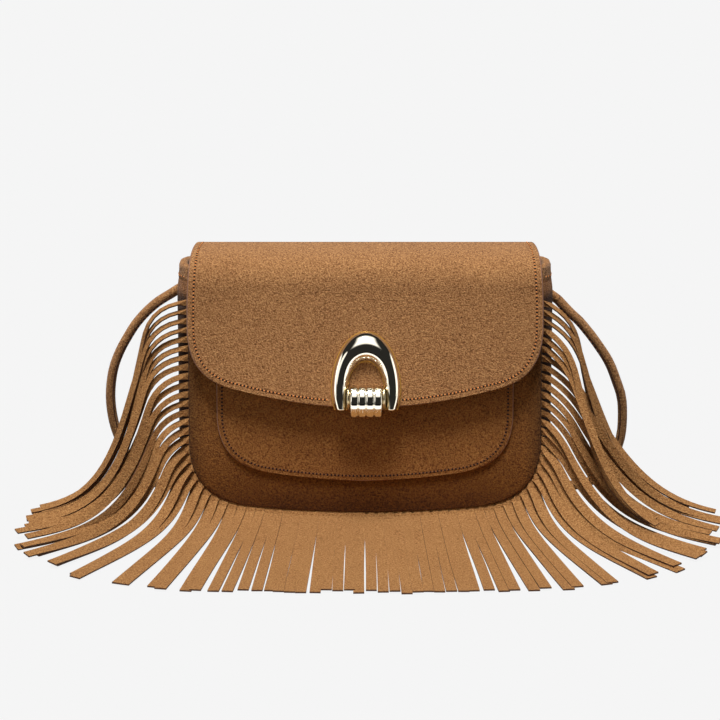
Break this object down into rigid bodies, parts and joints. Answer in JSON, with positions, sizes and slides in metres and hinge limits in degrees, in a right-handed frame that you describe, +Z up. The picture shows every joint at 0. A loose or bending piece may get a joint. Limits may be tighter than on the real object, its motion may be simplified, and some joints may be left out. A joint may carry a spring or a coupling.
{
  "type": "fringed suede bag",
  "caption": "Small soft suede flap bag with long fringe sewn into its side and bottom seam, a decorative horseshoe clasp and a long cord strap coiled behind it.",
  "frame": {"origin": "on the ground under the middle of the bag's body, on the flat bottom of the gusset", "axes": "+X to the right along the bag's width, -Y to the front where the clasp is, +Z up"},
  "size_m": [0.4244, 0.2949, 0.1608],
  "materials": {
    "suede": "brushed nap suede",
    "lining": "plain woven lining",
    "board": "pulp stiffener board",
    "gold": "polished pale gold plating",
    "steel": "plain magnetic snap discs"
  },
  "bodies": {
    "bag": {"front_panel": "suede", "back_panel": "suede", "gusset": "suede", "front_pocket": "suede", "flap_root": "suede", "fringe": "suede", "strap_tab_left": "suede", "strap_tab_right": "suede", "strap_left": "suede", "strap_right": "suede", "strap_coil": "suede", "lining_front": "lining", "lining_back": "lining", "lining_gusset": "lining", "base_board": "board", "snap_socket": "steel"},
    "flap": {"flap": "suede", "flap_lining": "lining", "clasp_arch": "gold", "clasp_barrel": "gold", "clasp_collar_left": "gold", "clasp_collar_right": "gold", "snap_stud": "steel"}
  },
  "joints": [
    {"name": "flap_hinge", "type": "hinge", "parent": "bag", "child": "flap", "pos_m": [0, 0.0228, 0.15085], "axis": [-1, 0, 0], "range_deg": [0, 170]}
  ]
}
